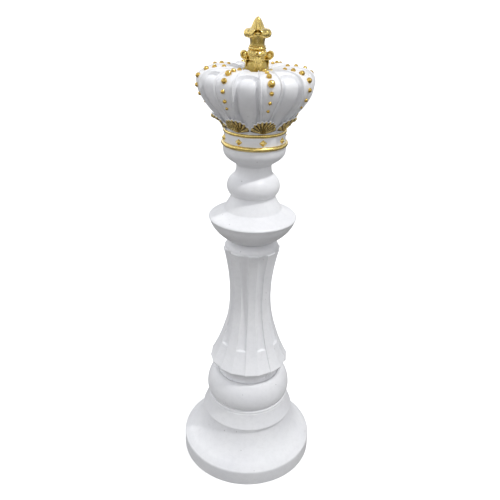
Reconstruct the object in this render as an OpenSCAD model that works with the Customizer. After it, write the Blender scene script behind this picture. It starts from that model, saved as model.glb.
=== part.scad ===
// Giant chess king: hollow castings stacked on one tie rod, with a closed crown of eight arches,
// gilt ornaments and a finial that screws on to the rod. Millimetres, +Z up.
// The origin is on the ground, under the centre of the base.

/* [Stack heights] */
// Lower rim of the base above the ground
base_z = 0.5; // [0.5:0.5:3]
// Top of the flared base
step_z = 108; // [104:1:112]
// Top of the stepped ring
torus_z = 149; // [145:1:153]
// Top of the big rounded ring
shaft_z = 206; // [203:1:209]
// Lower edge of the pleated skirt
skirt_z = 240; // [237:1:243]
// Crease where the flutes run out into the skirt
crease_z = 287; // [280:1:292]
// Top of the fluted shaft
cap_z = 494; // [488:1:498]
// Top of the cap on the shaft
collar_z = 510; // [507:1:513]
// Top of the collar
ball_z = 604; // [601:1:607]
// Top of the neck ball
cup_z = 662; // [659:1:665]
// Top of the cup
band_z = 699; // [697:1:701]
// Top of the crown's plain band
crown_z = 731; // [729:1:733]
// Tip of the finial
tip_z = 915; // [912:1:925]

/* [Radii] */
// Outside of the base
base_r = 141.5; // [139:0.5:144]
// Edge of the stepped ring
step_r = 97.5; // [95:0.5:100]
// Widest part of the big rounded ring
torus_r = 86.5; // [84:0.5:89]
// Edge of the pleated skirt
skirt_r = 82.5; // [80:0.5:86]
// Narrowest part of the fluted shaft
waist_r = 42; // [41:0.5:45]
// Top of the fluted shaft
shaft_r = 56; // [54:0.5:57.5]
// Sharp edge of the collar
collar_r = 84.5; // [82:0.5:87]
// Neck under the ball and above the collar
neck_r = 41.5; // [40:0.5:43]
// Plain band of the crown
band_r = 56; // [55:0.5:57]

/* [Pattern] */
// Hollow flutes round the shaft
flutes = 9; // [8:1:10]
// Depth of a flute
flute_depth = 4; // [2:0.5:5]
// Turn of the first raised strip from the front
flute_turn = 5; // [0:1:39]
// Arches of the crown, and the studs and palmettes under them
arches = 8; // [6:1:8]
// Turn of the first arch from the front
arch_turn = 15; // [0:1:44]
// Beads along one arch
beads = 7; // [5:1:7]

/* [Tie rod and ballast plug] */
// Radius of the tie rod, M12
rod_r = 6; // [5:1:6]
// Radius of the plug's thread
plug_r = 16; // [14:1:18]
// Distance of the plug from the axis
plug_y = 66; // [60:1:72]

/* [Hidden] */
$fn = 96;

WHITE = [0.93, 0.93, 0.94];
GOLD = [0.80, 0.62, 0.25];
STEEL = [0.62, 0.63, 0.65];
BRASS = [0.76, 0.62, 0.32];
BLACK = [0.12, 0.12, 0.12];
BOARD = [0.62, 0.50, 0.36];
SAND = [0.76, 0.68, 0.52];

play = 0.3;              // radial play of a spigot in its socket
fit = 0.05;              // radial play of a thread
spigot_h = 8;            // depth of a socket
spigot_gap = 0.5;        // a spigot ends this far short of its socket
rod_hole_r = rod_r + 0.6;
washer_r = 12;
washer_t = 2.5;
nut_flats = 18;
ballast_hole_r = 9;      // hole in the ballast round the rod

plate_z = 4;             // underside of the base plate
plate_t = 18;
plate_r = base_r - 7.5;
plate_top_z = plate_z + plate_t;
ledge_r = base_r - 19.5; // inside of the ledge that the plate bears on
screws = 6;
screw_ring_r = base_r - 13.5;
screw_turn = 30;
screw_top_z = 34;
screw_r = 2;
feet = 4;
foot_ring_r = 104;
foot_turn = 45;
foot_r = 12;
nut_recess_z = 14;       // top of the recess for the lower nut

plug_seat_z = 15;        // face that the plug's seal closes on
seal_t = 1.5;
plug_head_r = plug_r + 6;
plug_head_t = 4;
plug_top_z = plate_top_z + 1.5;

step_socket_r = 80;
torus_socket_r = 76;
shaft_socket_r = 58;
bore_r = 32;             // inside of the shaft
foot_bore_r = 44;        // and of its foot
tube_r = 24;             // bore for the centring tube
cup_socket_r = 50;
band_socket_r = 46;

pot_z = 820;             // seat of the finial on the crown
pot_r = 19.5;
leaves_z = 846;
ring_z = 862;
stem_z = 870;
stem_r = 14.3;
arms_z = 884;
bud_z = 892;
insert_r = 8.5;
insert_z = 835;
insert_top_z = leaves_z + 3;
stud_r = 3;
stud_z = 852;
stud_top_z = 896;
pot_cavity_r = 14;
pot_cavity_top_z = 834;
arch_foot_z = 758;       // arches start here, above the palmettes
arch_width = 22;         // degrees

// A cubic curve from a to d without its first point, so that curves chain end to end.
function curve(a, b, c, d, n = 6) = [for (i = [1:n]) let (t = i / n, s = 1 - t)
    s * s * s * a + 3 * s * s * t * b + 3 * s * t * t * c + t * t * t * d];
function reversed(p) = [for (i = [len(p) - 1:-1:0]) p[i]];

// Unit vector across a profile at point i, to the right of its travel.
function across(p, i) = let (d = p[min(i + 1, len(p) - 1)] - p[max(i - 1, 0)]) [d[1], -d[0]] / norm(d);
function thicker(p, t) = [for (i = [0:len(p) - 1]) p[i] + t * across(p, i)];

// Segment and fraction at length s along a profile.
function walk(p, s, i = 0) = let (d = norm(p[i + 1] - p[i]))
    s <= d || i >= len(p) - 2 ? [i, s / d] : walk(p, s - d, i + 1);

module lathe(points) {
    rotate_extrude() polygon(points);
}

// Copies round the axis, the first one turned from the front.
module around(count, turn) {
    for (k = [0:count - 1]) rotate(turn - 90 + k * 360 / count) children();
}

module tube(r, hole, z, top) {
    lathe([[hole, z], [r, z], [r, top], [hole, top]]);
}

module rod(r, z, top) {
    translate([0, 0, z]) cylinder(r = r, h = top - z);
}

// A closed skin over rings that all have the same number of points.
module skin(rings) {
    n = len(rings[0]);
    m = len(rings);
    polyhedron(
        points = [for (ring = rings) each ring],
        faces = concat(
            [[for (i = [0:n - 1]) i]],
            [for (j = [0:m - 2], i = [0:n - 1]) let (k = (i + 1) % n)
                each [[j * n + i, (j + 1) * n + i, j * n + k],
                    [j * n + k, (j + 1) * n + i, (j + 1) * n + k]]],
            [[for (i = [n - 1:-1:0]) (m - 1) * n + i]]));
}

// ---------- base ----------

rim_top = [base_r - 2.5, 37.5];
flare_foot = [base_r - 15.5, 50];
flare_top = [92, step_z];

module base_casting() {
    outside = concat(
        [[base_r, base_z], [base_r, 31]],
        curve([base_r, 31], [base_r, 34], [base_r - 0.5, 36], rim_top, 4),
        curve(rim_top, [base_r - 6.5, 42], [base_r - 10.5, 46], flare_foot, 4),
        curve(flare_foot, [base_r - 29.5, 62], [100, 75], flare_top, 10));
    inside = [[step_socket_r, step_z], [step_socket_r, step_z - spigot_h - 2], [86, step_z - 13],
        [91, 86], [99, 71], [108, 59], [120, 46], [ledge_r, 42], [ledge_r, plate_top_z],
        [plate_r + play, plate_top_z], [plate_r + play, base_z]];
    color(WHITE) difference() {
        lathe(concat(outside, inside));
        around(screws, screw_turn) translate([screw_ring_r, 0, 0]) rod(screw_r, plate_z, screw_top_z);
    }
}

module base_plate() {
    color(BOARD) difference() {
        rod(plate_r, plate_z, plate_top_z);
        rod(rod_hole_r, 0, plate_top_z + 1);
        rod(plug_r + 2, 0, nut_recess_z);
        translate([0, plug_y, 0]) {
            rod(plug_r + fit, 0, plate_top_z + 1);
            rod(plug_head_r + 1, 0, plug_seat_z);
        }
        around(screws, screw_turn) translate([screw_ring_r, 0, 0]) screw(plate_z, screw_top_z);
        around(feet, foot_turn) translate([foot_ring_r, 0, 0]) rod(screw_r, 0, plate_top_z - 3);
    }
}

// Countersunk wood screw, head down.
module screw(z, top) {
    translate([0, 0, z]) cylinder(r1 = 2.1 * screw_r, r2 = screw_r, h = 2.2, $fn = 48);
    rod(screw_r, z + 1, top);
}

module plate_screws() {
    color(STEEL) around(screws, screw_turn) translate([screw_ring_r, 0, 0]) screw(plate_z, screw_top_z);
}

module rubber_feet() {
    color(BLACK) around(feet, foot_turn) translate([foot_ring_r, 0, 0]) difference() {
        rod(foot_r, 0, plate_z);
        screw(1.5, plate_z + 1);
        rod(2.1 * screw_r, -1, 1.5);
    }
}

module foot_screws() {
    color(STEEL) around(feet, foot_turn) translate([foot_ring_r, 0, 0]) screw(1.5, plate_top_z - 3);
}

module sand_ballast() {
    color(SAND) difference() {
        lathe([[ballast_hole_r, plate_top_z], [ledge_r - 6, plate_top_z], [ledge_r - 6, 38], [100, 54],
            [ballast_hole_r, 56]]);
        translate([0, plug_y, 0]) rod(plug_r + 3, plate_top_z, plug_top_z + 4);
    }
}

module fill_plug() {
    head_z = plug_seat_z - seal_t - plug_head_t;
    slot = 3.5;
    color(BLACK) translate([0, plug_y, 0]) difference() {
        union() {
            rod(plug_head_r, head_z, head_z + plug_head_t);
            rod(plug_r, head_z + 1, plug_top_z);
        }
        translate([5 - plug_head_r, -slot / 2, head_z - 1]) cube([2 * plug_head_r - 10, slot, 3.5]);
    }
}

module plug_seal() {
    color("dimgray") translate([0, plug_y, 0])
        tube(plug_head_r - 0.5, plug_r + fit, plug_seat_z - seal_t, plug_seat_z);
}

// ---------- stacked castings ----------

module step_ring() {
    color(WHITE) lathe(concat(
        [[step_r - 4.5, step_z]],
        curve([step_r - 4.5, step_z], [step_r - 1.8, step_z], [step_r, step_z + 0.9],
            [step_r, step_z + 2.4], 4),
        curve([step_r, step_z + 2.4], [step_r - 5.5, step_z + 15], [88.5, torus_z - 15],
            [86.8, torus_z - 7], 6),
        [[86, torus_z - 5.5], [86.2, torus_z - 4], [84.5, torus_z - 0.6]],
        [[82, torus_z], [torus_socket_r, torus_z], [torus_socket_r, torus_z - spigot_h],
        [70, torus_z - spigot_h], [70, step_z - spigot_h], [step_socket_r - play, step_z - spigot_h],
        [step_socket_r - play, step_z]]));
}

module torus_ring() {
    spigot_z = torus_z - spigot_h + spigot_gap;
    color(WHITE) lathe(concat(
        [[82, torus_z]],
        curve([82, torus_z], [torus_r + 4.5, torus_z + 12], [torus_r + 4.5, shaft_z - 11],
            [75, shaft_z + 1], 12),
        curve([75, shaft_z + 1], [71, shaft_z + 3.5], [67, shaft_z + 2], [65, shaft_z], 4),
        [[shaft_socket_r, shaft_z], [shaft_socket_r, shaft_z - spigot_h], [66, shaft_z - 11],
        [73, shaft_z - 20], [torus_r - 9, shaft_z - 34], [75, torus_z + 9], [70, torus_z],
        [70, spigot_z], [torus_socket_r - play, spigot_z], [torus_socket_r - play, torus_z]]));
}

shaft_profile = concat(
    [[64.5, shaft_z]],
    curve([64.5, shaft_z], [64.5, shaft_z + 14], [70, shaft_z + 23], [skirt_r - 1.5, skirt_z - 4], 5),
    [[skirt_r, skirt_z]],
    curve([skirt_r, skirt_z], [skirt_r - 3, skirt_z + 5], [69.5, crease_z - 23], [61.5, crease_z], 6),
    curve([61.5, crease_z], [60.3, crease_z + 3.5], [59, crease_z + 7], [58, crease_z + 10], 3),
    curve([58, crease_z + 10], [49, crease_z + 35], [waist_r, crease_z + 65], [waist_r, crease_z + 100], 7),
    curve([waist_r, crease_z + 100], [waist_r, crease_z + 143], [49, cap_z - 26], [shaft_r, cap_z], 8));

// The flutes are deepest in the shaft and turn into shallow pleats below the crease.
function flute_at(z) = z <= skirt_z ? 0 : z <= crease_z ? 1 : min(flute_depth, 1 + (z - crease_z) / 5);
function fluted_ring(p) = [for (k = [0:flutes - 1], u = [-1, -0.5, 0, 0.35, 0.7, 1, 1.3, 1.65])
    let (hollow = max(0, 1 - (u - 1) * (u - 1)), r = p[0] - flute_at(p[1]) * (u > 0 ? hollow : 0),
        a = flute_turn - 90 + (k + 0.25 + u / 4) * 360 / flutes)
    [r * cos(a), r * sin(a), p[1]]];

module fluted_shaft() {
    color(WHITE) difference() {
        union() {
            skin([for (p = shaft_profile) fluted_ring(p)]);
            rod(shaft_socket_r - play, shaft_z - spigot_h + spigot_gap, shaft_z + 1);
        }
        lathe([[0, shaft_z - 20], [foot_bore_r, shaft_z - 20], [foot_bore_r, shaft_z + 10],
            [bore_r, crease_z], [bore_r, cap_z + 1], [0, cap_z + 1]]);
    }
}

module shaft_cap() {
    ledge = tube_r - 3;
    scallops = [for (p = fluted_ring([shaft_r + 0.3, cap_z])) [p[0], p[1]]];
    color(WHITE) intersection() {
        lathe(concat(
            [[shaft_r, cap_z], [shaft_r, cap_z + 1]],
            curve([shaft_r, cap_z + 1], [shaft_r - 0.5, cap_z + 4], [50, cap_z + 12], [38, collar_z], 5),
            [[tube_r, collar_z], [tube_r, cap_z - 4], [ledge, cap_z - 4], [ledge, cap_z - spigot_h],
            [bore_r - play, cap_z - spigot_h], [bore_r - play, cap_z]]));
        translate([0, 0, cap_z - 20]) linear_extrude(50) polygon(scallops);
    }
}

module collar() {
    edge_z = collar_z + 50;
    color(WHITE) lathe(concat(
        [[36, collar_z]],
        curve([36, collar_z], [46, collar_z + 3], [76, collar_z + 21], [collar_r - 2, edge_z - 4.5], 8),
        [[collar_r, edge_z - 0.5], [collar_r - 1, edge_z + 3], [collar_r - 5, edge_z + 5.4]],
        curve([collar_r - 5, edge_z + 5.4], [72, edge_z + 8.5], [62, edge_z + 12.5], [55, edge_z + 17.5], 6),
        curve([55, edge_z + 17.5], [51, edge_z + 27], [neck_r + 2.5, edge_z + 36], [neck_r, ball_z], 6),
        [[tube_r, ball_z], [tube_r, collar_z]]));
}

module neck_ball() {
    bulge = neck_r + 12;
    color(WHITE) lathe(concat(
        [[neck_r, ball_z]],
        curve([neck_r, ball_z], [bulge - 0.5, ball_z + 8], [bulge + 0.5, ball_z + 28], [38, ball_z + 39], 9),
        curve([38, ball_z + 39], [34.5, ball_z + 42], [32.3, cup_z - 9], [33, cup_z], 5),
        [[tube_r, cup_z], [tube_r, ball_z]]));
}

module centring_tube() {
    color(STEEL) tube(tube_r - play, tube_r - 3, cap_z - 4, cup_z + 14);
}

module crown_cup() {
    color(WHITE) lathe(concat(
        [[33, cup_z]],
        curve([33, cup_z], [36, cup_z + 6], [55, cup_z + 12], [57, cup_z + 24], 8),
        [[57.5, band_z], [cup_socket_r, band_z], [cup_socket_r, band_z - spigot_h], [44, band_z - 15],
        [tube_r, cup_z + 14], [tube_r, cup_z]]));
}

// ---------- crown ----------

crest_z = pot_z + 14;      // top of the arches' backs
body_profile = concat(
    [[band_r - 0.5, crown_z]],
    curve([band_r - 0.5, crown_z], [59, crown_z + 17], [70, crown_z + 27], [81, crown_z + 42], 7),
    curve([81, crown_z + 42], [91, crown_z + 56], [96.5, crown_z + 67], [96.5, crown_z + 78], 5),
    curve([96.5, crown_z + 78], [96.5, pot_z], [86, pot_z + 7], [62, pot_z + 7], 7),
    curve([62, pot_z + 7], [45, pot_z + 7], [30, pot_z + 4], [24, pot_z], 5));
arch_profile = concat(
    [[band_r + 1, crown_z]],
    curve([band_r + 1, crown_z], [60, crown_z + 17], [74, crown_z + 27], [86, crown_z + 42], 7),
    curve([86, crown_z + 42], [96, crown_z + 55], [102.5, crown_z + 67], [102.5, crown_z + 80], 6),
    curve([102.5, crown_z + 80], [102.5, crest_z - 8], [88, crest_z], [62, crest_z], 8),
    curve([62, crest_z], [45, crest_z], [28, crest_z - 4], [23, crest_z - 10], 6));

module crown_band() {
    spigot_z = band_z - spigot_h + spigot_gap;
    color(WHITE) lathe([[band_r, band_z], [band_r, crown_z], [band_socket_r, crown_z],
        [band_socket_r, spigot_z], [cup_socket_r - play, spigot_z], [cup_socket_r - play, band_z]]);
}

// A half-round ring that sits on the band.
module band_ring(r, section_r, z) {
    color(GOLD) rotate_extrude() difference() {
        translate([r - section_r, z]) circle(r = section_r, $fn = 32);
        translate([0, z - 20]) square([band_r, 40]);
    }
}

module band_ring_lower() {
    band_ring(61, 4, band_z + 4.5);
}

module band_ring_upper() {
    band_ring(58, 3.4, crown_z - 4.6);
}

module band_studs() {
    half_w = 7;
    half_h = 5.6;
    lozenge = [[-half_w, 0], [0, half_h], [half_w, 0], [0, -half_h]];
    color(GOLD) around(arches, arch_turn) translate([band_r, 0, band_z + 15.4])
        skin([[for (p = lozenge) [0, p[0], p[1]]], [for (p = lozenge) [0.6, p[0], p[1]]],
            [for (p = lozenge) [5, p[0] / 7, p[1] / 7]]]);
}

module crown_shell() {
    color(WHITE) lathe(concat(
        body_profile,
        [[rod_hole_r, pot_z], [rod_hole_r, pot_z - 9], [24, pot_z - 9], [42, pot_z - 3], [62, pot_z],
        [80, pot_z - 3], [89, pot_z - 12], [88, pot_z - 22], [75, pot_z - 45], [62, crown_z + 31],
        [50, crown_z + 16], [39, crown_z], [39, crown_z - 7],
        [band_socket_r - play, crown_z - 7], [band_socket_r - play, crown_z]]));
}

module crown_arches() {
    section = concat(
        [for (p = arch_profile) if (p[1] > arch_foot_z) p],
        [for (p = reversed(body_profile)) if (p[1] > arch_foot_z) p]);
    color(WHITE) around(arches, arch_turn) rotate(-arch_width / 2) rotate_extrude(angle = arch_width)
        polygon(section);
}

module arch_beads() {
    first = 57;
    pitch = 15.8;
    glue = 0.12;
    color(GOLD) around(arches, arch_turn) for (k = [0:beads - 1])
        let (w = walk(arch_profile, first + k * pitch), a = arch_profile[w[0]], b = arch_profile[w[0] + 1],
            d = b - a, spot = a + w[1] * d)
        translate([spot[0], 0, spot[1]]) rotate([0, atan2(d[1], -d[0]), 0])
            translate([0, 0, glue]) bead(k < 2 ? 3.4 : 4);
}

// Half a ball on its flat face.
module bead(r) {
    difference() {
        sphere(r = r, $fn = 32);
        translate([-2 * r, -2 * r, -4 * r]) cube(4 * r);
    }
}

module palmettes() {
    top = arch_foot_z - 1;
    inner = [for (p = body_profile) if (p[1] < top) p];
    half = 20.8;
    fan = [[-half, crown_z + 0.5], [half, crown_z + 0.5], [half, crown_z + 5], [11.5, top], [-11.5, top],
        [-half, crown_z + 5]];
    color(GOLD) around(arches, arch_turn) intersection() {
        lathe(concat(thicker(inner, 4.5), reversed(inner)));
        rotate([90, 0, 90]) linear_extrude(120) polygon(fan);
    }
}

// ---------- finial ----------

module finial_pot() {
    color(GOLD) lathe(concat(
        [[pot_cavity_r, pot_z], [pot_r - 2.5, pot_z]],
        curve([pot_r - 2.5, pot_z], [pot_r + 0.5, pot_z + 6], [pot_r + 0.5, pot_z + 15],
            [pot_r - 2.5, leaves_z - 3]),
        [[pot_r - 6, leaves_z], [insert_r, leaves_z], [insert_r, pot_cavity_top_z],
        [pot_cavity_r, pot_cavity_top_z]]));
}

// A leaf that rolls outwards: a scroll on a short arm.
module scroll(reach, scroll_r, width, z, arm) {
    translate([reach - scroll_r, 0, z]) rotate([90, 0, 0]) cylinder(r = scroll_r, h = width, center = true);
    translate([0, -width / 2, z - arm / 2]) cube([reach - scroll_r, width, arm]);
}

module finial_leaves() {
    color(GOLD) difference() {
        union() {
            rod(12, leaves_z, ring_z);
            for (side = [0, 180]) rotate(side) {
                scroll(28.5, 7.5, 14, leaves_z + 8, 8);
                for (turn = [-58, 58]) rotate(turn) scroll(20.8, 5.5, 11, leaves_z + 10, 8);
            }
        }
        rod(insert_r, leaves_z - 1, insert_top_z);
        rod(stud_r, stud_z, ring_z + 1);
    }
}

module finial_ring() {
    color(GOLD) lathe(concat(
        [[stud_r, ring_z], [12, ring_z]],
        curve([12, ring_z], [16.7, ring_z + 1], [16.7, stem_z - 1], [12, stem_z], 8),
        [[stud_r, stem_z]]));
}

module finial_stem() {
    color(GOLD) lathe([[stud_r, stem_z], [stem_r - 2.3, stem_z], [stem_r - 2.8, stem_z + 6], [stem_r, arms_z],
        [stud_r, arms_z]]);
}

module finial_arms() {
    color(GOLD) difference() {
        union() {
            rod(9, arms_z, bud_z);
            for (side = [0, 180]) rotate(side) scroll(23.6, 7.2, 13, arms_z + 5, 6);
        }
        rod(stem_r + play, stem_z, arms_z);
        rod(stud_r, arms_z - 1, bud_z + 1);
    }
}

module finial_bud() {
    color(GOLD) difference() {
        lathe(concat(
            [[0, bud_z], [8, bud_z]],
            curve([8, bud_z], [12, bud_z + 5], [9.5, bud_z + 10], [0, tip_z], 8)));
        rod(stud_r, bud_z - 1, stud_top_z);
    }
}

module finial_insert() {
    color(BRASS) tube(insert_r, rod_r + fit, insert_z, insert_top_z);
}

module finial_stud() {
    color(STEEL) rod(stud_r, stud_z, stud_top_z);
}

// ---------- tie rod and its nuts ----------

module washer(z) {
    color(STEEL) tube(washer_r, rod_hole_r, z, z + washer_t);
}

module nut(z, top) {
    color(STEEL) difference() {
        translate([0, 0, z]) cylinder(r = nut_flats / 2 / cos(30), h = top - z, $fn = 6);
        rod(rod_r + fit, z - 1, top + 1);
    }
}

module tie_rod() {
    color(STEEL) rod(rod_r, plate_z + 0.5, insert_top_z - 1);
}

module base_washer() {
    washer(nut_recess_z - washer_t);
}

module base_nut() {
    washer_z = nut_recess_z - washer_t;
    nut(washer_z - 6, washer_z);
}

module crown_washer() {
    washer(pot_z);
}

module crown_nut() {
    nut(pot_z + washer_t, pot_z + washer_t + 10);
}

base_casting();
base_plate();
plate_screws();
rubber_feet();
foot_screws();
sand_ballast();
fill_plug();
plug_seal();
step_ring();
torus_ring();
fluted_shaft();
shaft_cap();
collar();
neck_ball();
centring_tube();
crown_cup();
crown_band();
band_ring_lower();
band_ring_upper();
band_studs();
crown_shell();
crown_arches();
arch_beads();
palmettes();
finial_pot();
finial_leaves();
finial_ring();
finial_stem();
finial_arms();
finial_bud();
finial_insert();
finial_stud();
tie_rod();
base_washer();
base_nut();
crown_washer();
crown_nut();
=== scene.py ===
import math
import random

import bmesh
import bpy
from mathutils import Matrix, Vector, noise


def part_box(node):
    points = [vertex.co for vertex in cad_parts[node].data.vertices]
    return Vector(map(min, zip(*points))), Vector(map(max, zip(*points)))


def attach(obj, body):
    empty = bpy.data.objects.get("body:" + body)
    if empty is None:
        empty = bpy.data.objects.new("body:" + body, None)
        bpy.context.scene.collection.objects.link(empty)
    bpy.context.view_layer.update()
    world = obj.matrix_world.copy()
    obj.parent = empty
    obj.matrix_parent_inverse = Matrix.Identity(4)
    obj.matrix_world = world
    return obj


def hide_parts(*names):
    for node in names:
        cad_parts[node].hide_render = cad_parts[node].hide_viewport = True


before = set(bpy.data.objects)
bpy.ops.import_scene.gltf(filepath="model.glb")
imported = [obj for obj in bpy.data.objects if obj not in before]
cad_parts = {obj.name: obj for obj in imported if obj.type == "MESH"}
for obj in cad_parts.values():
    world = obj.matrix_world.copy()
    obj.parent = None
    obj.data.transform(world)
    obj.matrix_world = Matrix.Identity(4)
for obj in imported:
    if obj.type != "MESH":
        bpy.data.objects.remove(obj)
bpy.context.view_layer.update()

# Shapes are worked out in millimetres and written in metres.
MM = 0.001
TURN = 2 * math.pi
rng = random.Random(8)


def low(node):
    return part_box(node)[0].z / MM


def high(node):
    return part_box(node)[1].z / MM


def reach(node):
    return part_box(node)[1].x / MM


# Depth of a socket, and the length of the spigot that stands in it
SOCKET = 8
SPIGOT = 7.5

BASE_Z = low("base_casting")
STEP_Z = high("base_casting")
TORUS_Z = high("step_ring")
SHAFT_Z = low("fluted_shaft") + SPIGOT
CAP_Z = high("fluted_shaft")
COLLAR_Z = high("shaft_cap")
BALL_Z = high("collar")
CUP_Z = high("neck_ball")
BAND_Z = high("crown_cup")
CROWN_Z = high("crown_band")
POT_Z = low("finial_pot")
LEAVES_Z = low("finial_leaves")
RING_Z = low("finial_ring")
STEM_Z = low("finial_stem")
ARMS_Z = high("finial_stem")
BUD_Z = low("finial_bud")
TIP_Z = high("finial_bud")
BASE_R = reach("base_casting") - 0.25
STEP_R = reach("step_ring")
SKIRT_R = reach("fluted_shaft")
COLLAR_R = reach("collar")
BAND_R = reach("crown_band")
NECK_R = 41.5
# Bores for the centring tube and for the finial's stud
TUBE_R = 24
STUD_R = 3.1

FLUTES = 9
FLUTE_TURN = math.radians(5)
ARCHES = 8
ARCH_TURN = math.radians(15)
FRONT = -math.pi / 2


# ---------- curves and meshes ----------

def smooth(x, start=0.0, end=1.0):
    """0 before start, 1 after end, and an S between them."""
    t = min(1.0, max(0.0, (x - start) / (end - start)))
    return t * t * (3 - 2 * t)


def bend(a, b, c, d, n=18):
    """Points of a cubic curve from a to d, without a."""
    made = []
    for i in range(1, n + 1):
        t = i / n
        s = 1 - t
        made.append(tuple(s * s * s * a[k] + 3 * s * s * t * b[k] + 3 * s * t * t * c[k] + t * t * t * d[k]
                          for k in range(2)))
    return made


def outline(start, *moves):
    """A profile of (radius, height) points. A move is the next point, or three that bend towards it."""
    made = [start]
    for move in moves:
        made += bend(made[-1], *move) if isinstance(move[0], tuple) else [move]
    return made


def eased(points, radius, sharp=25):
    """A closed profile whose corners are rounded."""
    made = []
    n = len(points)
    for i, p in enumerate(points):
        p = Vector(p)
        before = Vector(points[i - 1]) - p
        after = Vector(points[(i + 1) % n]) - p
        if before.length < 1e-6 or after.length < 1e-6:
            continue
        if math.degrees(math.pi - before.angle(after)) < sharp:
            made.append(tuple(p))
            continue
        a = p + before.normalized() * min(radius, before.length * 0.45)
        b = p + after.normalized() * min(radius, after.length * 0.45)
        for k in range(6):
            t = k / 5
            made.append(tuple(a * (1 - t) ** 2 + p * 2 * t * (1 - t) + b * t * t))
    return made


def grid_faces(rows, columns, loop):
    for j in range(rows if loop else rows - 1):
        for i in range(columns):
            a = j * columns + i
            b = j * columns + (i + 1) % columns
            c = ((j + 1) % rows) * columns + (i + 1) % columns
            d = ((j + 1) % rows) * columns + i
            yield (a, b, c, d)


def solid(rows, loop=False):
    """(points, faces) of a skin over closed rows of points. loop joins the last row to the first."""
    columns = len(rows[0])
    points = [p for row in rows for p in row]
    faces = list(grid_faces(len(rows), columns, loop))
    if not loop:
        faces.append(tuple(range(columns)))
        faces.append(tuple(reversed(range(len(points) - columns, len(points)))))
    return points, faces


def piece(name, parts, material, body="base", replaces=(), sharp=38, depth=None):
    """One object from several solids, riding on a body. depth holds one shade value for each point."""
    points, faces = [], []
    for part_points, part_faces in parts:
        start = len(points)
        points += [Vector(p) * MM for p in part_points]
        faces += [tuple(start + i for i in face) for face in part_faces]
    mesh = bpy.data.meshes.new(name)
    mesh.from_pydata(points, [], faces)
    if depth is not None:
        mesh.attributes.new("depth", "FLOAT", "POINT").data.foreach_set("value", depth)
    bm = bmesh.new()
    bm.from_mesh(mesh)
    bmesh.ops.remove_doubles(bm, verts=bm.verts, dist=1e-6)
    bmesh.ops.recalc_face_normals(bm, faces=bm.faces)
    bm.to_mesh(mesh)
    bm.free()
    mesh.shade_smooth()
    mesh.set_sharp_from_angle(angle=math.radians(sharp))
    mesh.materials.append(material)
    obj = bpy.data.objects.new(name, mesh)
    bpy.context.scene.collection.objects.link(obj)
    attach(obj, body)
    if replaces:
        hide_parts(*replaces)


def around(r, a, z):
    """A point at radius r and turn a, counted from the front towards +X."""
    return Vector((r * math.cos(FRONT + a), r * math.sin(FRONT + a), z))


def uneven(a, z, size, amount):
    """Slow hand-made unevenness of a casting."""
    return amount * noise.noise(Vector((math.cos(a) * size, math.sin(a) * size, z * 0.018)))


def lathe(points, columns=200, shape=None, wobble=0.25):
    """A closed solid of revolution. shape(r, z, a) is added to the radius."""
    turns = columns if isinstance(columns, list) else [TURN * i / columns for i in range(columns)]
    rows = []
    for r, z in points:
        rows.append([around(r + (shape(r, z, a) if shape else 0) + uneven(a, z, 1.3, wobble), a, z)
                     for a in turns])
    return solid(rows, loop=True)


# ---------- materials ----------

def add_node(tree, kind, settings=None, **inputs):
    node = tree.nodes.new(kind)
    for key, value in (settings or {}).items():
        setattr(node, key, value)
    for key, value in inputs.items():
        node.inputs[key.replace("_", " ")].default_value = value
    return node


def new_material(name):
    mat = bpy.data.materials.new(name)
    mat.use_nodes = True
    tree = mat.node_tree
    return mat, tree, tree.nodes["Principled BSDF"]


def ramp(tree, source, stops):
    node = tree.nodes.new("ShaderNodeValToRGB")
    elements = node.color_ramp.elements
    while len(elements) < len(stops):
        elements.new(0.5)
    for element, (place, colour) in zip(elements, stops):
        element.position = place
        element.color = (*colour, 1)
    tree.links.new(source, node.inputs["Fac"])
    return node.outputs["Color"]


def shade(value):
    return (value, value, value)


def texture(tree, where, kind, scale, **inputs):
    node = add_node(tree, kind, Scale=scale, **inputs)
    tree.links.new(where, node.inputs["Vector"])
    return node


def mix(tree, factor, a, b, blend="MIX"):
    """Mixes two colours. a and b are sockets or colours, and factor is a socket or a number."""
    node = tree.nodes.new("ShaderNodeMix")
    node.data_type = "RGBA"
    node.blend_type = blend
    for socket, value in ((node.inputs[0], factor), (node.inputs[6], a), (node.inputs[7], b)):
        if isinstance(value, bpy.types.NodeSocket):
            tree.links.new(value, socket)
        elif isinstance(value, tuple):
            socket.default_value = (*value, 1)
        else:
            socket.default_value = value
    return node.outputs[2]


def bump(tree, height, distance, strength, under=None):
    node = add_node(tree, "ShaderNodeBump", Strength=strength, Distance=distance)
    tree.links.new(height, node.inputs["Height"])
    if under:
        tree.links.new(under, node.inputs["Normal"])
    return node.outputs["Normal"]


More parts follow.
